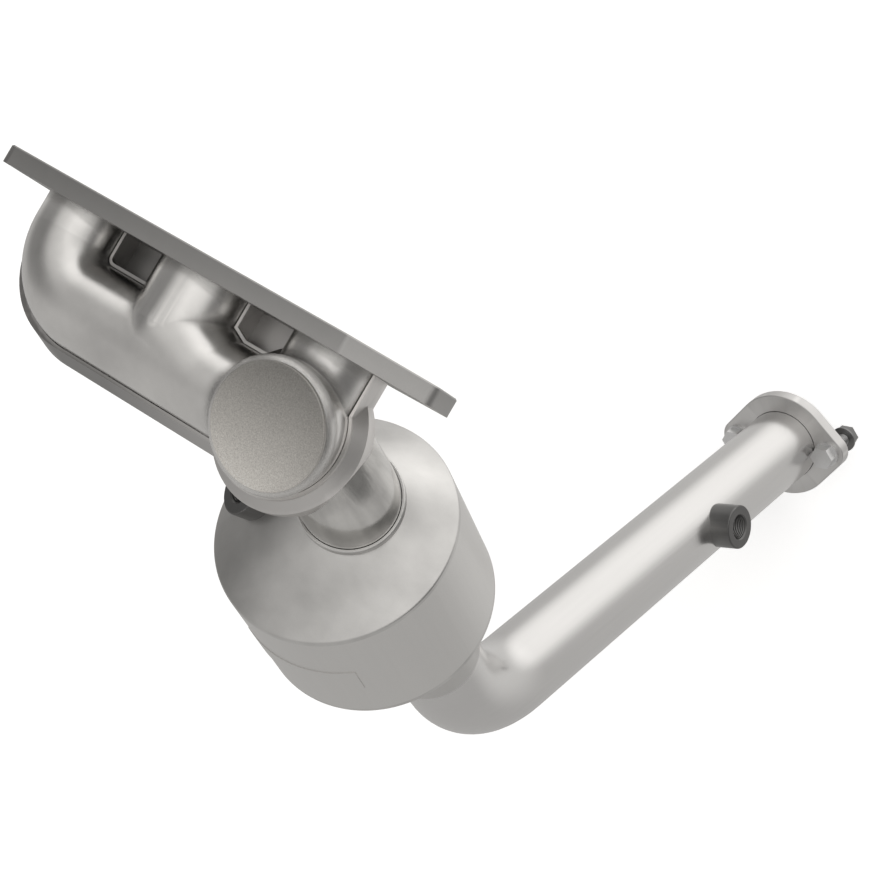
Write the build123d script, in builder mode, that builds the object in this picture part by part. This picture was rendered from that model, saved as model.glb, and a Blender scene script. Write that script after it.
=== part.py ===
from build123d import *
import os
from math import sin, cos, tan, radians

# Catalytic converter with an integral three-port manifold, in millimetres.
# The origin is the middle of the centre port on the machined face of the head flange.
# +Y points into the cylinder head, +X runs along the ports, +Z is up.

# Head flange
port_pitch = 91.0
flange_t = 11.0
flange_left = 135.0
flange_right = 160.0
flange_half_h = 38.0
flange_shoulder_x = 112.0
flange_end_half = 14.0
flange_corner = 6.0
flange_chamfer = 0.8
port_w = 50.0
port_h = 44.0
port_corner = 20.0
stud_r = 4.5
stud_z = 28.0
stud_left_x = -121.0
stud_right_x = 145.0

# Manifold stampings
sheet_t = 1.8
lap_gap = 0.3
far_x = -89.5
far_r = 26.5
far_log_y = -57.5
far_bend_r = 31.5
mid_r = 29.5
mid_turn_y = -45.0
mid_join_x = 34.0
near_r = 26.0
pot_x = 86.0
pot_y = -58.5
pot_r = 38.0
pot_top_r = 38.0
cap_r = 34.4
cap_t = 2.5
cap_round = 0.6
cap_lap = 3.4
cap_origin = (94.5, -61.3, 30.5)
cap_tilt_out = 18.5
cap_tilt_side = 4.0
shoulder_r = 5.0
lip_h = 2.4
web_z = -14.0
tray_past_head = 30.0
tray_corner_r = 50.0
tray_join_x = 72.0
tray_lean = 17.0
tray_depths = (35.0, 35.0, 31.0)
tray_edges = (12.0, 12.0, 22.0)
bowl_r = 46.0
bowl_flare_h = 6.5
bowl_depth = 31.0
bowl_edge = 20.0

# Collector outlet tube and inlet cone neck
tube_r = 28.575
tube_t = 1.6
slip = 0.3
neck_point = (114.0, -74.6, -54.4)
neck_axis = (0.22, 0.17, 0.96)
neck_h = 6.0
neck_t = 1.8
rim_round = 0.8
skirt_round = 1.5
outlet_start = (102.0, -59.5, -17.5)
outlet_reach = 24.0

# Converter body
body_r = 71.5
body_l = 87.8
body_t = 1.5
body_origin = (102.6, -94.7, -83.3)
body_tilt = 17.3
body_roll = 2.95
skirt_h = 3.0
inlet_shift = 1.0
outlet_shift = 0.5
mat_t = 4.0
brick_l = 70.0
brick_chamfer = 1.0
out_neck_l = 18.0
pad_t = 0.5
pad_top = 36.0
pad_h = 22.0
pad_from = -112.0
pad_to = -51.0

# Downpipe
pipe_step = 2.0
pipe_start_axis = (0.139, -0.295, -0.945)
pipe_bend_start = (129.8, -146.8, -270.9)
pipe_bend_r = 85.7
pipe_lead = 48.0
pipe_tilt = 41.33
pipe_yaw = -0.6
flange_at = 418.0

# Outlet flange and fasteners
out_flange_t = 10.0
out_flange_r = 42.0
out_flange_round = 1.0
lobe_r = 13.5
bolt_half_pitch = 39.0
flange_turn = 18.9
bolt_r = 5.0
bolt_hole_r = 5.5
bolt_head_af = 16.0
bolt_head_h = 10.0
bolt_collar_h = 2.0
bolt_collar_r = 10.0
bolt_l = 36.0
bolt_chamfer = 1.0
nut_h = 8.4
nut_collar_r = 10.0
nut_collar_h = 1.6
bolt_end_show = 1.5

# Sensor bungs
bung_r = 16.0
bung_l = 16.0
thread_r = 9.0
thread_minor_r = 8.2
bung_at = 278.5
bung_top = 43.0
bung_turn = 26.2
bung_round = 1.0
countersink = 0.6
countersink_h = 1.4
front_bung_place = (-0.6168, -0.0671, 0.2601)
front_bung_top = 13.0
front_bung_axis = (-0.47, -0.11, 0.876)

os.makedirs("parts", exist_ok=True)


def save(name, shape):
    shape.label = name
    export_step(shape, "parts/" + name + ".step")


# Directions and datum planes
body_up = Vector(
    -sin(radians(body_roll)),
    cos(radians(body_roll)) * sin(radians(body_tilt)),
    cos(radians(body_roll)) * cos(radians(body_tilt)),
)
body_base = Vector(*body_origin)
body_plane = Plane(origin=body_base, x_dir=Vector(1, 0, 0), z_dir=body_up)
neck_up = Vector(*neck_axis).normalized()
neck_plane = Plane(origin=Vector(*neck_point), x_dir=Vector(1, 0, 0), z_dir=neck_up)
pipe_dir = Vector(
    sin(radians(pipe_yaw)),
    cos(radians(pipe_yaw)) * sin(radians(pipe_tilt)),
    -cos(radians(pipe_yaw)) * cos(radians(pipe_tilt)),
)
lead_dir = Vector(*pipe_start_axis).normalized()
bend_angle = lead_dir.get_angle(pipe_dir)
tangent_l = pipe_bend_r * tan(radians(bend_angle / 2))
far_end = body_base - body_up * body_l
knee = Vector(*pipe_bend_start) + lead_dir * tangent_l
collar_plane = Plane(origin=knee - lead_dir * (tangent_l + pipe_lead), z_dir=lead_dir)
above = Vector(1, 0, 0).cross(pipe_dir).normalized()
across = pipe_dir.cross(above)
turn_x = across * cos(radians(flange_turn)) + above * sin(radians(flange_turn))
out_plane = Plane(origin=knee + pipe_dir * flange_at, x_dir=turn_x, z_dir=pipe_dir)
cap_plane = Plane(origin=Vector(*cap_origin)).rotated((cap_tilt_out, cap_tilt_side, 0))


# Head flange: a thick plate with three ports and seven stud holes
ports = [(-port_pitch, 0), (0, 0), (port_pitch, 0)]
with BuildPart() as head_flange:
    with BuildSketch(Plane.XZ):
        with BuildLine():
            Polyline(
                (-flange_left, -flange_half_h),
                (flange_shoulder_x, -flange_half_h),
                (flange_right, -flange_end_half),
                (flange_right, flange_end_half),
                (flange_shoulder_x, flange_half_h),
                (-flange_left, flange_half_h),
                close=True,
            )
        make_face()
        fillet(vertices(), flange_corner)
        with Locations(*ports):
            RectangleRounded(port_w, port_h, port_corner, mode=Mode.SUBTRACT)
        with Locations((-port_pitch / 2, 0), (port_pitch / 2, 0)):
            with GridLocations(0, 2 * stud_z, 1, 2):
                Circle(stud_r, mode=Mode.SUBTRACT)
        with Locations((stud_left_x, stud_z), (stud_left_x, -stud_z), (stud_right_x, 0)):
            Circle(stud_r, mode=Mode.SUBTRACT)
    extrude(amount=flange_t)
    chamfer(head_flange.faces().sort_by(Axis.Y)[-1].outer_wire().edges(), flange_chamfer)
save("head_flange", head_flange.part)


mid_turn = Vector(0, mid_turn_y, 0)
mid_join = Vector(mid_join_x, far_log_y, 0)


# The middle runner turns on a ball and tapers to the bore of the log
def middle_run(change):
    with BuildPart() as run:
        with BuildSketch(Plane.XZ.offset(flange_t - 1)):
            Circle(mid_r + change)
        extrude(amount=1 - flange_t - mid_turn_y)
        with Locations(mid_turn):
            Sphere(mid_r + change)
        with Locations(mid_join):
            Sphere(far_r + change)
        with BuildSketch(Plane(origin=mid_turn, z_dir=mid_join - mid_turn)):
            Circle(mid_r + change)
        with BuildSketch(Plane(origin=mid_join, z_dir=mid_join - mid_turn)):
            Circle(far_r + change)
        loft()
    return run.part


# The three gas runs into the collector pot
def gas_runs(change):
    with BuildPart() as runs:
        with BuildLine() as path:
            FilletPolyline(
                (far_x, 1 - flange_t),
                (far_x, far_log_y),
                (pot_x, far_log_y),
                radius=far_bend_r,
            )
        with BuildSketch(Plane(origin=path.line @ 0, z_dir=path.line % 0)):
            Circle(far_r + change)
        sweep(path=path.line)
        add(middle_run(change))
        with BuildSketch(Plane.XZ.offset(flange_t - 1)):
            with Locations((port_pitch, 0)):
                Circle(near_r + change)
        extrude(amount=1 - flange_t - pot_y)
    return runs.part


# The collector pot: upright at the seam, then leaning to the plane of its cap
def pot(change, lower):
    with BuildPart() as body:
        with BuildSketch(Plane.XY.offset(lip_h)) as seam:
            with Locations((pot_x, pot_y)):
                Circle(pot_r + change)
        extrude(amount=-lip_h)
        add(seam.sketch)
        with BuildSketch(cap_plane.offset(-lower)):
            Circle(pot_top_r + change)
        loft()
        fillet(body.faces().sort_by(Axis.Z)[-1].edges(), shoulder_r - lower)
    return body.part


with BuildPart() as upper_shell:
    add(gas_runs(0))
    add(pot(0, 0))
    split(bisect_by=Plane.XY, keep=Keep.TOP)
    add(gas_runs(-sheet_t), mode=Mode.SUBTRACT)
    add(pot(-sheet_t, sheet_t), mode=Mode.SUBTRACT)
    split(bisect_by=Plane.XZ.offset(flange_t), keep=Keep.TOP)
    with BuildSketch(cap_plane):
        Circle(cap_r - cap_lap)
    extrude(amount=-3 * sheet_t, mode=Mode.SUBTRACT)
save("manifold_upper_shell", upper_shell.part)

with BuildPart() as cap:
    with BuildSketch(cap_plane):
        Circle(cap_r)
    extrude(amount=cap_t)
    fillet(cap.faces().sort_by(Axis.Z)[-1].edges(), cap_round)
save("collector_cap", cap.part)


# Plan shape of one gas run, grown by a margin
def plan_shape(index, grow, corner_r):
    with BuildSketch(Plane.XY) as plan:
        if index == 0:
            x = far_x
            y = far_log_y
            r = far_r + grow
            with BuildLine():
                Line((x - r, tray_past_head), (x - r, y - r + corner_r))
                CenterArc((x - r + corner_r, y - r + corner_r), corner_r, 180, 90)
                Line((x - r + corner_r, y - r), (tray_join_x, y - r))
                Line((tray_join_x, y - r), (tray_join_x, y + r))
                Line((tray_join_x, y + r), (x + far_bend_r, y + r))
                CenterArc((x + far_bend_r, y + far_bend_r), far_bend_r - r, 180, 90)
                Line((x + r, y + far_bend_r), (x + r, tray_past_head))
                Line((x + r, tray_past_head), (x - r, tray_past_head))
            make_face()
        elif index == 1:
            with Locations((0, mid_turn_y)):
                Circle(mid_r + grow)
            with Locations((mid_join_x, far_log_y)):
                Circle(far_r + grow)
            make_hull()
            with Locations((0, mid_turn_y)):
                Rectangle(2 * (mid_r + grow), tray_past_head - mid_turn_y, align=(Align.CENTER, Align.MIN))
        else:
            with Locations((port_pitch, pot_y)):
                Rectangle(2 * (near_r + grow), tray_past_head - pot_y, align=(Align.CENTER, Align.MIN))
    return plan.sketch


# One hollow of the lower stamping: an upright lip over a leaning, rounded bowl
lean = Vector(0, -sin(radians(tray_lean)), -cos(radians(tray_lean)))


def hollow(index, inset):
    grow = lap_gap + sheet_t - inset
    slant = 1 / cos(radians(tray_lean))
    with BuildPart() as whole:
        with BuildSketch(Plane(origin=lean * inset * slant)):
            add(plan_shape(index, grow, tray_corner_r - inset))
        extrude(amount=(tray_depths[index] - 2 * inset) * slant, dir=lean)
        fillet(whole.faces().sort_by(Axis.Z)[0].edges(), tray_edges[index] - inset)
        with BuildSketch(Plane.XY.offset(-2 * inset)):
            add(plan_shape(index, grow, far_bend_r + far_r + grow))
        extrude(amount=lip_h + 3 * inset)
    return whole.part


# The bowl under the pot flares out below the lip, then turns in to a flat floor
def bowl(inset):
    grow = lap_gap + sheet_t - inset
    with BuildPart() as whole:
        with BuildSketch(Plane.XY.offset(-bowl_flare_h)) as belly:
            with Locations((pot_x, pot_y)):
                Circle(bowl_r - inset)
        extrude(amount=bowl_flare_h + inset - bowl_depth)
        fillet(whole.faces().sort_by(Axis.Z)[0].edges(), bowl_edge - inset)
        add(belly.sketch)
        with BuildSketch(Plane.XY) as seam:
            with Locations((pot_x, pot_y)):
                Circle(pot_r + grow)
        loft()
        add(seam.sketch)
        extrude(amount=lip_h + inset)
    return whole.part


# The outlet elbow runs back from the neck into the pot along one arc
with BuildLine() as outlet_path:
    Line(neck_plane.origin - neck_up * neck_h, neck_point)
    elbow = TangentArc(neck_point, outlet_start, tangent=neck_up)
    Line(outlet_start, elbow @ 1 + elbow % 1 * outlet_reach)


def outlet_run(r):
    with BuildPart() as run:
        with BuildSketch(Plane(origin=outlet_path.line @ 0, z_dir=outlet_path.line % 0)):
            Circle(r)
        sweep(path=outlet_path.line)
    return run.part


with BuildPart() as tray_form:
    for index in range(3):
        add(hollow(index, 0))
    add(bowl(0))
with BuildPart() as lower_shell:
    add(tray_form.part)
    with BuildSketch(Plane.XY.offset(web_z)):
        with Locations((0, far_log_y / 2)):
            Rectangle(2 * port_pitch, -far_log_y)
    extrude(amount=-sheet_t)
    for index in range(3):
        add(hollow(index, sheet_t), mode=Mode.SUBTRACT)
    add(bowl(sheet_t), mode=Mode.SUBTRACT)
    add(outlet_run(tube_r - tube_t), mode=Mode.SUBTRACT)
    split(bisect_by=Plane.XZ.offset(flange_t), keep=Keep.TOP)
save("manifold_lower_shell", lower_shell.part)

with BuildPart() as outlet_tube:
    add(outlet_run(tube_r))
    add(outlet_run(tube_r - tube_t), mode=Mode.SUBTRACT)
    add(tray_form.part, mode=Mode.SUBTRACT)
    split(bisect_by=Plane.XY, keep=Keep.BOTTOM)
save("collector_outlet_tube", outlet_tube.part)


# Inlet cone: a skirt on the body, an eccentric cone and a tilted neck
def cone_form(wall, shift, neck_r):
    with BuildPart() as form:
        with BuildSketch(body_plane.offset(-shift)):
            Circle(body_r - wall)
        extrude(amount=skirt_h)
        with BuildSketch(body_plane.offset(skirt_h - shift)):
            Circle(body_r - wall)
        with BuildSketch(Plane(neck_foot - body_up * shift, x_dir=neck_plane.x_dir, z_dir=neck_up)):
            Circle(neck_r)
        loft()
        with BuildSketch(neck_plane.offset(-neck_h - 2 * shift)):
            Circle(neck_r)
        extrude(amount=neck_h + 2 * shift)
    return form.part


neck_in_r = tube_r + slip
neck_out_r = neck_in_r + neck_t
neck_foot = neck_plane.origin - neck_up * neck_h
front_plane = Plane(origin=body_base + Vector(*front_bung_place) * body_r, z_dir=Vector(*front_bung_axis))
with BuildPart() as cone_outside:
    add(cone_form(0, 0, neck_out_r))
    rims = cone_outside.edges().filter_by(GeomType.CIRCLE).sort_by(Axis(body_base, body_up))
    fillet(rims[-1], rim_round)
    rims = cone_outside.edges().filter_by(GeomType.CIRCLE).sort_by(Axis(body_base, body_up))
    fillet(rims[1], skirt_round)
with BuildPart() as inlet_cone:
    add(cone_outside.part)
    add(cone_form(body_t, inlet_shift, neck_in_r), mode=Mode.SUBTRACT)
    with BuildSketch(front_plane):
        Circle(thread_r)
    extrude(amount=bung_l, both=True, mode=Mode.SUBTRACT)
save("inlet_cone", inlet_cone.part)

# Converter shell with its blank raised pad
with BuildPart() as converter_shell:
    with BuildSketch(body_plane):
        Circle(body_r)
        Circle(body_r - body_t, mode=Mode.SUBTRACT)
    extrude(amount=-body_l)
    with BuildSketch(body_plane.offset(-pad_top)) as pad:
        Circle(body_r + pad_t)
        Circle(body_r - body_t / 2, mode=Mode.SUBTRACT)
        with BuildLine():
            first = PolarLine((0, 0), 2 * body_r, pad_from)
            last = PolarLine((0, 0), 2 * body_r, pad_to)
            Line(first @ 1, last @ 1)
        make_face(mode=Mode.INTERSECT)
    extrude(amount=-pad_h)
save("converter_shell", converter_shell.part)

# Outlet cone with its collar round the downpipe
far_plane = Plane(origin=far_end, x_dir=body_plane.x_dir, z_dir=body_up * -1)


def outlet_cone_form(wall, shift, neck_r):
    with BuildPart() as form:
        with BuildSketch(far_plane.offset(-shift)):
            Circle(body_r - wall)
        extrude(amount=skirt_h)
        with BuildSketch(far_plane.offset(skirt_h - shift)):
            Circle(body_r - wall)
        with BuildSketch(collar_plane.offset(-shift)):
            Circle(neck_r)
        loft()
        with BuildSketch(collar_plane.offset(-shift)):
            Circle(neck_r)
        extrude(amount=out_neck_l + 2 * shift)
    return form.part


with BuildPart() as outlet_cone:
    add(outlet_cone_form(0, 0, neck_out_r))
    rims = outlet_cone.edges().filter_by(GeomType.CIRCLE).sort_by(Axis(far_end, body_up))
    fillet(rims[-2], skirt_round)
    add(outlet_cone_form(body_t, outlet_shift, neck_in_r), mode=Mode.SUBTRACT)
save("outlet_cone", outlet_cone.part)

# Catalyst brick and the mat that holds it
brick_r = body_r - body_t - mat_t
brick_plane = body_plane.offset(-(body_l + brick_l) / 2)
with BuildPart() as brick:
    with BuildSketch(brick_plane):
        Circle(brick_r)
    extrude(amount=brick_l)
    chamfer(brick.edges().filter_by(GeomType.CIRCLE), brick_chamfer)
save("catalyst_brick", brick.part)
with BuildPart() as mat:
    with BuildSketch(brick_plane):
        Circle(body_r - body_t)
        Circle(brick_r, mode=Mode.SUBTRACT)
    extrude(amount=brick_l)
save("support_mat", mat.part)

# Downpipe: a tube with one bend, drilled for its sensor
pipe_normal = lead_dir.cross(pipe_dir)
bend_plane = Plane(origin=knee, x_dir=pipe_dir, z_dir=pipe_normal)
pipe_from = tangent_l + pipe_lead - pipe_step
pipe_to = flange_at + out_flange_t - pipe_step
with BuildLine(bend_plane) as pipe_path:
    FilletPolyline(
        (-pipe_from * cos(radians(bend_angle)), pipe_from * sin(radians(bend_angle))),
        (0, 0),
        (pipe_to, 0),
        radius=pipe_bend_r,
    )
bung_dir = across * cos(radians(bung_turn)) + above * sin(radians(bung_turn))
bung_plane = Plane(origin=knee + pipe_dir * bung_at, x_dir=pipe_dir, z_dir=bung_dir)
with BuildPart() as downpipe:
    with BuildSketch(Plane(origin=pipe_path.line @ 0, z_dir=pipe_path.line % 0)):
        Circle(tube_r)
        Circle(tube_r - tube_t, mode=Mode.SUBTRACT)
    sweep(path=pipe_path.line)
    with BuildSketch(bung_plane):
        Circle(thread_r)
    extrude(amount=2 * tube_r, mode=Mode.SUBTRACT)
save("downpipe", downpipe.part)


# A threaded sensor bung standing on its plane, from below the wall it sits on
def bung_form(plane, top, below):
    with BuildPart() as bung:
        with BuildSketch(plane.offset(top - bung_l - below)):
            Circle(bung_r)
        extrude(amount=bung_l + below)
        fillet(bung.edges().filter_by(GeomType.CIRCLE).sort_by(Axis(plane.origin, plane.z_dir))[-1], bung_round)
        with BuildSketch(plane.offset(top - bung_l - below)):
            Circle(thread_minor_r)
        extrude(amount=bung_l + below, mode=Mode.SUBTRACT)
        with BuildSketch(plane.offset(top)):
            Circle(thread_r + countersink)
        with BuildSketch(plane.offset(top - countersink_h)):
            Circle(thread_minor_r)
        loft(mode=Mode.SUBTRACT)
    return bung.part


with BuildPart() as downpipe_bung:
    add(bung_form(bung_plane, bung_top, bung_l / 2))
    with BuildSketch(Plane(origin=knee + pipe_dir * (bung_at - 2 * bung_r), z_dir=pipe_dir)):
        Circle(tube_r)
    extrude(amount=4 * bung_r, mode=Mode.SUBTRACT)
save("downstream_sensor_bung", downpipe_bung.part)

with BuildPart() as front_bung:
    add(bung_form(front_plane, front_bung_top, bung_l / 4))
    add(cone_outside.part, mode=Mode.SUBTRACT)
save("upstream_sensor_bung", front_bung.part)

# Outlet flange: two rounded lobes and a round hub on the pipe end
with BuildPart() as outlet_flange:
    with BuildSketch(out_plane):
        Circle(out_flange_r)
        with GridLocations(2 * bolt_half_pitch, 0, 2, 1):
            Circle(lobe_r)
        make_hull()
        Circle(tube_r + slip, mode=Mode.SUBTRACT)
        with GridLocations(2 * bolt_half_pitch, 0, 2, 1):
            Circle(bolt_hole_r, mode=Mode.SUBTRACT)
    extrude(amount=out_flange_t)
    rim = outlet_flange.faces().filter_by(GeomType.PLANE).sort_by(Axis(out_plane.origin, pipe_dir))
    fillet(rim[0].outer_wire().edges(), out_flange_round)
    rim = outlet_flange.faces().filter_by(GeomType.PLANE).sort_by(Axis(out_plane.origin, pipe_dir))
    fillet(rim[-1].outer_wire().edges(), out_flange_round)
save("outlet_flange", outlet_flange.part)

# Hex bolts pushed through the flange from the pipe side
hex_r = bolt_head_af / 2
with BuildPart() as flange_bolts:
    with BuildSketch(out_plane.offset(-bolt_head_h)):
        with GridLocations(2 * bolt_half_pitch, 0, 2, 1):
            RegularPolygon(hex_r, 6, major_radius=False)
    extrude(amount=bolt_head_h)
    with BuildSketch(out_plane.offset(-bolt_collar_h)):
        with GridLocations(2 * bolt_half_pitch, 0, 2, 1):
            Circle(bolt_collar_r)
    extrude(amount=bolt_collar_h)
    with BuildSketch(out_plane):
        with GridLocations(2 * bolt_half_pitch, 0, 2, 1):
            Circle(bolt_r)
    extrude(amount=bolt_l)
    tips = flange_bolts.faces().filter_by(GeomType.PLANE).sort_by(Axis(out_plane.origin, pipe_dir))[-2:]
    chamfer(tips.edges(), bolt_chamfer)
save("flange_bolts", flange_bolts.part)

# Flange nuts run onto the bolt ends, collar toward the flange
nut_plane = out_plane.offset(bolt_l - bolt_end_show - nut_h)
with BuildPart() as flange_nuts:
    with BuildSketch(nut_plane):
        with GridLocations(2 * bolt_half_pitch, 0, 2, 1):
            RegularPolygon(hex_r, 6, major_radius=False)
    extrude(amount=nut_h)
    with BuildSketch(nut_plane):
        with GridLocations(2 * bolt_half_pitch, 0, 2, 1):
            Circle(nut_collar_r)
    extrude(amount=nut_collar_h)
    with BuildSketch(nut_plane):
        with GridLocations(2 * bolt_half_pitch, 0, 2, 1):
            Circle(bolt_r)
    extrude(amount=nut_h, mode=Mode.SUBTRACT)
save("flange_nuts", flange_nuts.part)
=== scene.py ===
from math import cos, radians, sin

import bpy
from mathutils import Matrix, Vector


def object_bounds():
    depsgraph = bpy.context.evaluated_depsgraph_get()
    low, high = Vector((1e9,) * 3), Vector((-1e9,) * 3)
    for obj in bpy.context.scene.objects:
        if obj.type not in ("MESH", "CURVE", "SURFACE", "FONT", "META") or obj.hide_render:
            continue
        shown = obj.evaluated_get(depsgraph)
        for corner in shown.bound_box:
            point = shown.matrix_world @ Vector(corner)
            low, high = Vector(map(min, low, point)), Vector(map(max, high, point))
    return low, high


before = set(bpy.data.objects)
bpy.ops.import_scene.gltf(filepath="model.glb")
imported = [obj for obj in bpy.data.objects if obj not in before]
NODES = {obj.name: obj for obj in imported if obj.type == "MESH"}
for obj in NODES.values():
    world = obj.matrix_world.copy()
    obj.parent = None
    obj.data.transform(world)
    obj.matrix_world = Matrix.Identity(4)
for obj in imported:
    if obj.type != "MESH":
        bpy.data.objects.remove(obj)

CAD_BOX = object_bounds()

# Camera: a 90 mm lens on a square 36 mm sensor, looking steeply down on the manifold
CAMERA_AT = Vector((0.6454, -0.0341, 1.0268))
LOOK_ALONG = Vector((-0.4213, 0.0099, -0.9069))
IMAGE_RIGHT = Vector((0.7846, 0.5056, -0.3589))
LENS_MM = 90.0
SENSOR_MM = 36.0
CLIP_END = 50.0

# Directions and places of the real parts, in metres, as the solids have them
PORT_ROW = Vector((1.0, 0.0, 0.0))
PIPE_ALONG = Vector((-0.0105, 0.6603, -0.7509))
CAN_ALONG = Vector((-0.0514, 0.2973, 0.9534))
UPSTREAM_SENSOR_AT = Vector((0.0552, -0.1003, -0.0586))
UPSTREAM_SENSOR_ALONG = Vector((-0.470, -0.110, 0.876))
DOWNSTREAM_SENSOR_AT = Vector((0.1668, 0.0353, -0.5154))
DOWNSTREAM_SENSOR_ALONG = Vector((0.897, 0.338, 0.285))
CAP_MIDDLE = Vector((0.0945, -0.0613, 0.0305))
# Directions across the cap along which its painted light and shade changes
CAP_PAINTED_LIGHT_SIDEWAYS = Vector((0.785, 0.506, -0.359))
CAP_PAINTED_LIGHT_OUTWARD = Vector((0.455, -0.863, -0.221))
BOLT_MIDDLES = [Vector((0.1690, 0.1296, -0.6283)), Vector((0.0952, 0.1101, -0.6444))]

# Threads: pitch and depth, and the radius inside which they show in a bung and on a bolt
THREAD_PITCH = 0.0015
THREAD_DEPTH = 0.0006
SENSOR_THREAD_REACH = 0.0087
BOLT_THREAD_REACH = 0.0053

# The share of the length that drawn lines leave out of their noise, which makes them long
LINE_STRETCH = 0.97

# The pointiness over which an edge counts as rubbed, and the scale of its ragged border
RUB_POINTINESS = 0.52
RUB_RAGGED_SCALE = 160.0

SOFT_CREASE_SAMPLES = 6

FLOOR_GAP = 0.002
FLOOR_SIZE = 12.0
FLOOR_GLOW = 0.55
FLOOR_COLOUR = (0.86, 0.86, 0.86, 1.0)
FLOOR_ROUGHNESS = 0.9

# Light tent: its level, its darkest cloth, and its lobes as azimuth and elevation of the middle,
# half angle of the full part, half angle of the whole, and the light it adds or takes away
TENT_LEVEL = 0.50
TENT_FLOOR = 0.08
TENT_COLOUR = (1.0, 0.985, 0.965, 1.0)
TENT_LOBES = [
    (92.0, 17.0, 26.0, 60.0, 0.62),
    (18.0, 60.0, 12.0, 34.0, 0.32),
    (62.0, 76.0, 10.0, 30.0, 0.10),
    (180.0, 80.0, 10.0, 32.0, 0.16),
    (90.0, -45.0, 15.0, 60.0, 0.25),
    (8.0, 8.0, 16.0, 42.0, -0.32),
    (178.0, 22.0, 12.0, 40.0, -0.24),
    (-158.0, 48.0, 8.0, 28.0, -0.05),
]


# Small helpers for node trees
def add(tree, kind, **values):
    node = tree.nodes.new(kind)
    for name, value in values.items():
        setattr(node, name, value)
    return node


def link(tree, out, into):
    tree.links.new(out, into)


# A number is set on the socket, another node's output is linked to it
def feed(tree, value, socket):
    if isinstance(value, (int, float)):
        socket.default_value = value
    else:
        link(tree, value, socket)


def maths(tree, operation, first, second, clamp=False):
    node = add(tree, "ShaderNodeMath", operation=operation, use_clamp=clamp)
    feed(tree, first, node.inputs[0])
    feed(tree, second, node.inputs[1])
    return node.outputs[0]


def vectors(tree, operation, first, second):
    node = add(tree, "ShaderNodeVectorMath", operation=operation)
    link(tree, first, node.inputs[0])
    link(tree, second, node.inputs["Scale"] if operation == "SCALE" else node.inputs[1])
    return node.outputs["Value" if operation == "DOT_PRODUCT" else "Vector"]


def new_group(name, inputs, outputs):
    group = bpy.data.node_groups.new(name, "ShaderNodeTree")
    for label, kind, value in inputs:
        socket = group.interface.new_socket(label, in_out="INPUT", socket_type=kind)
        socket.default_value = value
    for label, kind in outputs:
        group.interface.new_socket(label, in_out="OUTPUT", socket_type=kind)
    return group, add(group, "NodeGroupInput"), add(group, "NodeGroupOutput")


# A shade round one, from noise that swings round a half
def shade_from(tree, noise, contrast):
    swing = maths(tree, "SUBTRACT", noise, 0.5)
    swing = maths(tree, "MULTIPLY", swing, contrast)
    return maths(tree, "ADD", swing, 1.0)


def object_place(tree):
    return add(tree, "ShaderNodeTexCoord").outputs["Object"]


def noise_at(tree, place, scale, detail=2.0, roughness=0.5):
    noise = add(tree, "ShaderNodeTexNoise")
    link(tree, place, noise.inputs["Vector"])
    feed(tree, scale, noise.inputs["Scale"])
    noise.inputs["Detail"].default_value = detail
    noise.inputs["Roughness"].default_value = roughness
    return noise.outputs["Fac"]


FLOAT = "NodeSocketFloat"
VECTOR = "NodeSocketVector"


# Fine grain of rolled or blasted steel: a height for the bump and a shade around one
def make_grain():
    group, given, result = new_group(
        "steel grain",
        [("Scale", FLOAT, 900.0), ("Contrast", FLOAT, 0.1)],
        [("Height", FLOAT), ("Shade", FLOAT)],
    )
    fine = noise_at(group, object_place(group), given.outputs["Scale"], 3.0, 0.65)
    shade = shade_from(group, fine, given.outputs["Contrast"])
    link(group, fine, result.inputs["Height"])
    link(group, shade, result.inputs["Shade"])
    return group


# Faint lines drawn along a tube, or rolled round a can, in the direction Along; on the cones,
# painted reflection streaks
def make_drawn_lines_and_streaks():
    group, given, result = new_group(
        "drawn lines and painted streaks",
        [("Along", VECTOR, (0.0, 0.0, 1.0)), ("Scale", FLOAT, 500.0), ("Contrast", FLOAT, 0.1)],
        [("Height", FLOAT), ("Shade", FLOAT)],
    )
    place = object_place(group)
    run = vectors(group, "DOT_PRODUCT", place, given.outputs["Along"])
    run = maths(group, "MULTIPLY", run, LINE_STRETCH)
    shift = vectors(group, "SCALE", given.outputs["Along"], run)
    squeezed = vectors(group, "SUBTRACT", place, shift)
    lines = noise_at(group, squeezed, given.outputs["Scale"], 4.0)
    shade = shade_from(group, lines, given.outputs["Contrast"])
    link(group, lines, result.inputs["Height"])
    link(group, shade, result.inputs["Shade"])
    return group


# Slow cloudy change of tone and gloss, as on a sheet that was pressed and washed
def make_clouding():
    group, given, result = new_group(
        "clouding",
        [("Scale", FLOAT, 18.0), ("Contrast", FLOAT, 0.1), ("Gloss Contrast", FLOAT, 0.1)],
        [("Shade", FLOAT), ("Gloss Shade", FLOAT)],
    )
    cloud = noise_at(group, object_place(group), given.outputs["Scale"], 5.0)
    tone = shade_from(group, cloud, given.outputs["Contrast"])
    gloss = shade_from(group, cloud, given.outputs["Gloss Contrast"])
    link(group, tone, result.inputs["Shade"])
    link(group, gloss, result.inputs["Gloss Shade"])
    return group


# Painted light and shade: a tone that changes evenly across a piece, one at Middle, and one plus or
# less Contrast from
# Half Width on
def make_painted_light_slope():
    group, given, result = new_group(
        "painted light slope",
        [
            ("Middle", VECTOR, (0.0, 0.0, 0.0)),
            ("Along", VECTOR, (1.0, 0.0, 0.0)),
            ("Half Width", FLOAT, 0.04),
            ("Contrast", FLOAT, 0.2),
        ],
        [("Shade", FLOAT)],
    )
    away = vectors(group, "SUBTRACT", object_place(group), given.outputs["Middle"])
    run = vectors(group, "DOT_PRODUCT", away, given.outputs["Along"])
    share = maths(group, "DIVIDE", run, given.outputs["Half Width"])
    share = maths(group, "MINIMUM", share, 1.0)
    share = maths(group, "MAXIMUM", share, -1.0)
    swing = maths(group, "MULTIPLY", share, given.outputs["Contrast"])
    link(group, maths(group, "ADD", swing, 1.0), result.inputs["Shade"])
    return group


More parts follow.
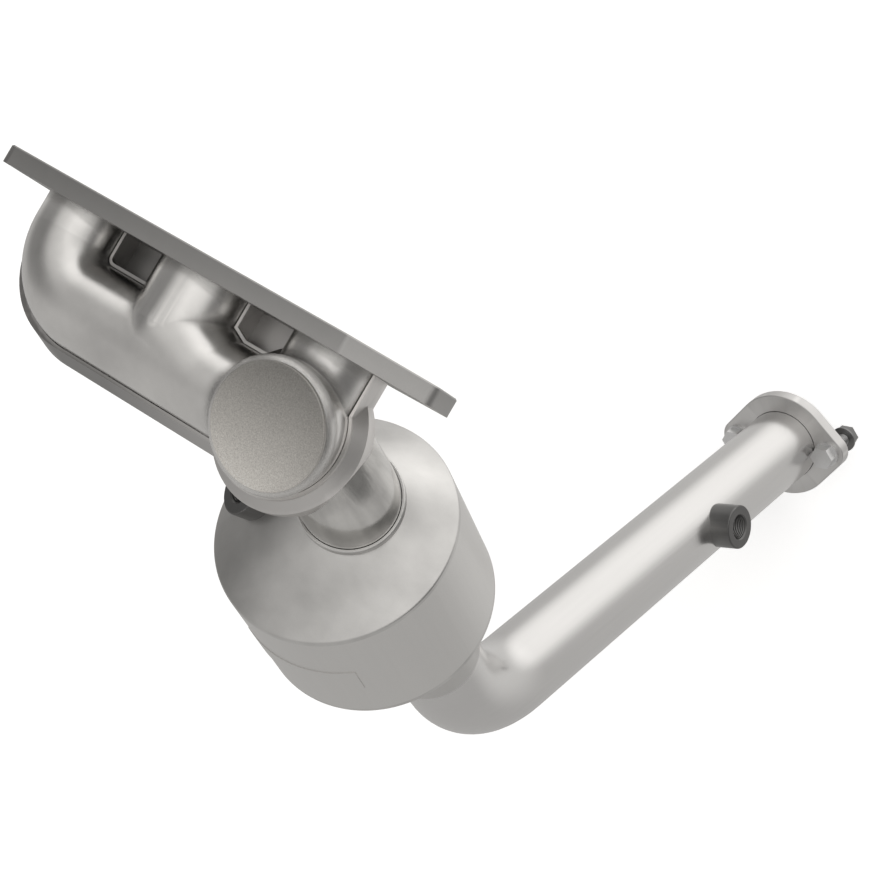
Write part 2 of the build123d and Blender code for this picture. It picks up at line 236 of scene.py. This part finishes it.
# Rubbed edges: a mask that is one on sharp outward edges
def make_edge_rub():
    group, given, result = new_group(
        "edge rub",
        [("Sharpness", FLOAT, 12.0), ("Raggedness", FLOAT, 0.2)],
        [("Mask", FLOAT)],
    )
    bend = add(group, "ShaderNodeNewGeometry").outputs["Pointiness"]
    ragged = noise_at(group, object_place(group), RUB_RAGGED_SCALE)
    swing = maths(group, "SUBTRACT", ragged, 0.5)
    swing = maths(group, "MULTIPLY", swing, given.outputs["Raggedness"])
    rise = maths(group, "SUBTRACT", bend, RUB_POINTINESS)
    rise = maths(group, "MULTIPLY", rise, given.outputs["Sharpness"])
    rise = maths(group, "ADD", rise, swing, clamp=True)
    link(group, rise, result.inputs["Mask"])
    return group


# Thread rings inside a bore or round a shank, by the distance from a point along an axis
def make_thread_rings():
    group, given, result = new_group(
        "thread rings",
        [
            ("From", VECTOR, (0.0, 0.0, 0.0)),
            ("Along", VECTOR, (0.0, 0.0, 1.0)),
            ("Pitch", FLOAT, THREAD_PITCH),
            ("Reach", FLOAT, SENSOR_THREAD_REACH),
        ],
        [("Height", FLOAT)],
    )
    away = vectors(group, "SUBTRACT", object_place(group), given.outputs["From"])
    run = vectors(group, "DOT_PRODUCT", away, given.outputs["Along"])
    shift = vectors(group, "SCALE", given.outputs["Along"], run)
    radius = add(group, "ShaderNodeVectorMath", operation="LENGTH")
    link(group, vectors(group, "SUBTRACT", away, shift), radius.inputs[0])
    inside = maths(group, "LESS_THAN", radius.outputs["Value"], given.outputs["Reach"])
    turns = maths(group, "DIVIDE", run, given.outputs["Pitch"])
    wave = maths(group, "PINGPONG", turns, 0.5)
    wave = maths(group, "MULTIPLY", wave, 2.0)
    link(group, maths(group, "MULTIPLY", wave, inside), result.inputs["Height"])
    return group


GRAIN = make_grain()
DRAWN_LINES_AND_STREAKS = make_drawn_lines_and_streaks()
CLOUDING = make_clouding()
PAINTED_LIGHT_SLOPE = make_painted_light_slope()
EDGE_RUB = make_edge_rub()
THREAD = make_thread_rings()


def place_group(tree, group, **values):
    node = add(tree, "ShaderNodeGroup", node_tree=group)
    for label, value in values.items():
        node.inputs[label.replace("_", " ")].default_value = value
    return node


def add_bump(tree, height, distance, normal=None):
    bump = add(tree, "ShaderNodeBump")
    bump.inputs["Distance"].default_value = distance
    link(tree, height, bump.inputs["Height"])
    if normal is not None:
        link(tree, normal, bump.inputs["Normal"])
    return bump.outputs["Normal"]


# A material: tone times its shades and its painted light and shade gradients, roughness times its
# clouding, and one chain of bumps. Creases are shaded as if rounded by soft_radius.
def make_material(name, tone, roughness, clouding, grain, grain_height, lines=None,
                  lines_height=0.0, rub=0.0, painted_light_slopes=(), threads=(), soft_radius=0.0, metallic=1.0):
    material = bpy.data.materials.new(name)
    material.use_nodes = True
    tree = material.node_tree
    surface = tree.nodes["Principled BSDF"]
    surface.inputs["Metallic"].default_value = metallic
    cloud = place_group(tree, CLOUDING, **clouding)
    speck = place_group(tree, GRAIN, **grain)
    shade = maths(tree, "MULTIPLY", cloud.outputs["Shade"], speck.outputs["Shade"])
    normal = None
    if soft_radius > 0:
        soft = add(tree, "ShaderNodeBevel", samples=SOFT_CREASE_SAMPLES)
        soft.inputs["Radius"].default_value = soft_radius
        normal = soft.outputs["Normal"]
    normal = add_bump(tree, speck.outputs["Height"], grain_height, normal)
    if lines:
        drawn = place_group(tree, DRAWN_LINES_AND_STREAKS, **lines)
        shade = maths(tree, "MULTIPLY", shade, drawn.outputs["Shade"])
        normal = add_bump(tree, drawn.outputs["Height"], lines_height, normal)
    for thread in threads:
        rings = place_group(tree, THREAD, **thread)
        normal = add_bump(tree, rings.outputs["Height"], THREAD_DEPTH, normal)
    link(tree, normal, surface.inputs["Normal"])
    # Painted light and shade: each gradient lightens one side of the piece and darkens the other
    for slope in painted_light_slopes:
        fade = place_group(tree, PAINTED_LIGHT_SLOPE, **slope)
        shade = maths(tree, "MULTIPLY", shade, fade.outputs["Shade"])
    if rub > 0:
        worn = place_group(tree, EDGE_RUB)
        lift = maths(tree, "MULTIPLY", worn.outputs["Mask"], rub)
        shade = maths(tree, "ADD", shade, lift)
    colour = add(tree, "ShaderNodeVectorMath", operation="SCALE")
    colour.inputs[0].default_value = tone
    link(tree, shade, colour.inputs["Scale"])
    link(tree, colour.outputs["Vector"], surface.inputs["Base Color"])
    rough = maths(tree, "MULTIPLY", cloud.outputs["Gloss Shade"], roughness, clamp=True)
    link(tree, rough, surface.inputs["Roughness"])
    return material


def milled_plate():
    return make_material(
        "milled plate", (0.33, 0.326, 0.32), 0.45,
        dict(Scale=14.0, Contrast=0.25, Gloss_Contrast=0.3),
        dict(Scale=1500.0, Contrast=0.12), 0.00002, rub=0.3,
        # Painted light and shade: the plate is lighter towards +X along the port row and darker
        # towards -X
        painted_light_slopes=[dict(Middle=(0.04, 0.0, 0.0), Along=PORT_ROW, Half_Width=0.15, Contrast=0.26)],
    )


def bright_stamping():
    return make_material(
        "bright stamping", (0.74, 0.73, 0.715), 0.20,
        dict(Scale=24.0, Contrast=0.6, Gloss_Contrast=0.9),
        dict(Scale=1100.0, Contrast=0.05), 0.000012, rub=0.25, soft_radius=0.010,
    )


def lower_stamping():
    return make_material(
        "lower stamping", (0.48, 0.47, 0.46), 0.36,
        dict(Scale=20.0, Contrast=0.12, Gloss_Contrast=0.4),
        dict(Scale=1100.0, Contrast=0.06), 0.000015, rub=0.45,
        # Painted light and shade: the lower stamping is lighter towards +X, the collector end, and
        # darker towards -X
        painted_light_slopes=[dict(Middle=(0.05, 0.0, 0.0), Along=PORT_ROW, Half_Width=0.08, Contrast=0.5)],
    )


def blasted_disc():
    return make_material(
        "blasted disc", (0.60, 0.583, 0.553), 0.55,
        dict(Scale=26.0, Contrast=0.16, Gloss_Contrast=0.15),
        dict(Scale=1500.0, Contrast=1.1), 0.00010,
        # Painted light and shade: the cap grows darker sideways and lighter outward across its face
        painted_light_slopes=[
            dict(Middle=CAP_MIDDLE, Along=CAP_PAINTED_LIGHT_SIDEWAYS, Half_Width=0.035, Contrast=-0.30),
            dict(Middle=CAP_MIDDLE, Along=CAP_PAINTED_LIGHT_OUTWARD, Half_Width=0.030, Contrast=0.40),
        ],
    )


def drawn_elbow():
    return make_material(
        "drawn elbow", (0.63, 0.621, 0.603), 0.17,
        dict(Scale=38.0, Contrast=0.7, Gloss_Contrast=0.8),
        dict(Scale=1300.0, Contrast=0.05), 0.00001,
        lines=dict(Along=CAN_ALONG, Scale=60.0, Contrast=1.2), lines_height=0.0008,
    )


def satin_pressing():
    return make_material(
        "satin pressing", (0.65, 0.643, 0.63), 0.37,
        dict(Scale=11.0, Contrast=0.25, Gloss_Contrast=0.5),
        dict(Scale=1200.0, Contrast=0.08), 0.000015,
        # Painted reflection: the tone of these lines stands in for streaks the cones reflect; their
        # bump is faint
        lines=dict(Along=CAN_ALONG, Scale=26.0, Contrast=0.8), lines_height=0.0002,
    )


def satin_can():
    return make_material(
        "satin can", (0.73, 0.722, 0.708), 0.37,
        dict(Scale=9.0, Contrast=0.08, Gloss_Contrast=0.25),
        dict(Scale=1200.0, Contrast=0.08), 0.000015,
        lines=dict(Along=CAN_ALONG, Scale=350.0, Contrast=0.05), lines_height=0.00001,
    )


def drawn_pipe():
    return make_material(
        "drawn pipe", (0.69, 0.683, 0.675), 0.24,
        dict(Scale=13.0, Contrast=0.08, Gloss_Contrast=0.35),
        dict(Scale=1300.0, Contrast=0.05), 0.00001,
        lines=dict(Along=PIPE_ALONG, Scale=420.0, Contrast=0.05), lines_height=0.000012,
    )


def turned_bung(name, start, along):
    along = along.normalized()
    return make_material(
        name, (0.16, 0.159, 0.157), 0.36,
        dict(Scale=60.0, Contrast=0.2, Gloss_Contrast=0.4),
        dict(Scale=1500.0, Contrast=0.15), 0.00002, rub=0.5,
        threads=[dict(From=start, Along=along, Pitch=THREAD_PITCH, Reach=SENSOR_THREAD_REACH)],
    )


def satin_flange():
    return make_material(
        "satin flange", (0.62, 0.613, 0.605), 0.36,
        dict(Scale=30.0, Contrast=0.10, Gloss_Contrast=0.3),
        dict(Scale=1200.0, Contrast=0.08), 0.00002, rub=0.2,
    )


def plated_bolt():
    return make_material(
        "plated bolt", (0.60, 0.60, 0.60), 0.30,
        dict(Scale=80.0, Contrast=0.15, Gloss_Contrast=0.4),
        dict(Scale=1500.0, Contrast=0.08), 0.00001, rub=0.3,
        threads=[
            dict(From=middle, Along=PIPE_ALONG, Pitch=THREAD_PITCH, Reach=BOLT_THREAD_REACH)
            for middle in BOLT_MIDDLES
        ],
    )


def dark_nut():
    return make_material(
        "dark nut", (0.16, 0.16, 0.16), 0.34,
        dict(Scale=80.0, Contrast=0.2, Gloss_Contrast=0.3),
        dict(Scale=1500.0, Contrast=0.12), 0.00002, rub=0.5,
    )


def coated_ceramic():
    return make_material(
        "coated ceramic", (0.45, 0.41, 0.35), 0.9,
        dict(Scale=30.0, Contrast=0.2, Gloss_Contrast=0.1),
        dict(Scale=1000.0, Contrast=0.4), 0.0001, metallic=0.0,
    )


def mineral_mat():
    return make_material(
        "mineral mat", (0.62, 0.58, 0.50), 0.95,
        dict(Scale=40.0, Contrast=0.3, Gloss_Contrast=0.1),
        dict(Scale=600.0, Contrast=0.5), 0.0003, metallic=0.0,
    )


def dress(name, material):
    node = NODES[name]
    node.data.materials.clear()
    node.data.materials.append(material)


# Every piece gets its finish
dress("head_flange", milled_plate())
dress("manifold_upper_shell", bright_stamping())
dress("manifold_lower_shell", lower_stamping())
dress("collector_cap", blasted_disc())
dress("collector_outlet_tube", drawn_elbow())
dress("inlet_cone", satin_pressing())
dress("converter_shell", satin_can())
dress("outlet_cone", satin_pressing())
dress("catalyst_brick", coated_ceramic())
dress("support_mat", mineral_mat())
dress("downpipe", drawn_pipe())
dress(
    "upstream_sensor_bung",
    turned_bung("upstream bung", UPSTREAM_SENSOR_AT, UPSTREAM_SENSOR_ALONG),
)
dress(
    "downstream_sensor_bung",
    turned_bung("downstream bung", DOWNSTREAM_SENSOR_AT, DOWNSTREAM_SENSOR_ALONG),
)
dress("outlet_flange", satin_flange())
dress("flange_bolts", plated_bolt())
dress("flange_nuts", dark_nut())


# A pale floor just under the lowest point of the part. It glows a little and isn't reflected.
def make_floor():
    mesh = bpy.data.meshes.new("floor")
    half = FLOOR_SIZE / 2
    level = CAD_BOX[0][2] - FLOOR_GAP
    sides = [(-half, -half), (half, -half), (half, half), (-half, half)]
    mesh.from_pydata([(x, y, level) for x, y in sides], [], [(0, 1, 2, 3)])
    floor = bpy.data.objects.new("floor", mesh)
    bpy.context.scene.collection.objects.link(floor)
    material = bpy.data.materials.new("pale floor")
    material.use_nodes = True
    surface = material.node_tree.nodes["Principled BSDF"]
    surface.inputs["Base Color"].default_value = FLOOR_COLOUR
    surface.inputs["Roughness"].default_value = FLOOR_ROUGHNESS
    surface.inputs["Specular IOR Level"].default_value = 0.0
    surface.inputs["Emission Color"].default_value = (1.0, 1.0, 1.0, 1.0)
    surface.inputs["Emission Strength"].default_value = FLOOR_GLOW
    mesh.materials.append(material)
    floor.visible_glossy = False


# One soft lobe of studio light: full inside Core, gone outside Rim, both cosines from its direction
def make_lobe():
    group, given, result = new_group(
        "soft lobe",
        [
            ("Toward", VECTOR, (0.0, 0.0, 1.0)),
            ("Core", FLOAT, 0.9),
            ("Rim", FLOAT, 0.5),
            ("Strength", FLOAT, 1.0),
        ],
        [("Light", FLOAT)],
    )
    view = add(group, "ShaderNodeTexCoord").outputs["Generated"]
    fade = add(group, "ShaderNodeMapRange", interpolation_type="SMOOTHSTEP")
    link(group, vectors(group, "DOT_PRODUCT", view, given.outputs["Toward"]), fade.inputs["Value"])
    link(group, given.outputs["Rim"], fade.inputs["From Min"])
    link(group, given.outputs["Core"], fade.inputs["From Max"])
    light = maths(group, "MULTIPLY", fade.outputs["Result"], given.outputs["Strength"])
    link(group, light, result.inputs["Light"])
    return group


def toward(azimuth, elevation):
    flat = cos(radians(elevation))
    turn = radians(azimuth)
    return Vector((flat * cos(turn), flat * sin(turn), sin(radians(elevation))))


# A light tent: pale all round, a big soft wall on the engine side, and dark cloths at both ends
def make_tent():
    lobe = make_lobe()
    world = bpy.data.worlds.new("light tent")
    world.use_nodes = True
    tree = world.node_tree
    light = TENT_LEVEL
    for azimuth, elevation, core, rim, strength in TENT_LOBES:
        part = place_group(
            tree, lobe, Toward=toward(azimuth, elevation),
            Core=cos(radians(core)), Rim=cos(radians(rim)), Strength=strength,
        )
        light = maths(tree, "ADD", part.outputs["Light"], light)
    light = maths(tree, "MAXIMUM", light, TENT_FLOOR)
    link(tree, light, tree.nodes["Background"].inputs["Strength"])
    tree.nodes["Background"].inputs["Color"].default_value = TENT_COLOUR
    bpy.context.scene.world = world


def make_camera():
    data = bpy.data.cameras.new("camera")
    data.lens = LENS_MM
    data.sensor_width = SENSOR_MM
    data.clip_end = CLIP_END
    camera = bpy.data.objects.new("camera", data)
    back = -LOOK_ALONG.normalized()
    right = (IMAGE_RIGHT - back * IMAGE_RIGHT.dot(back)).normalized()
    up = back.cross(right)
    turn = Matrix((right, up, back)).transposed()
    camera.matrix_world = Matrix.Translation(CAMERA_AT) @ turn.to_4x4()
    bpy.context.scene.collection.objects.link(camera)
    bpy.context.scene.camera = camera


make_floor()
make_tent()
make_camera()
bpy.context.scene.view_settings.view_transform = "Standard"
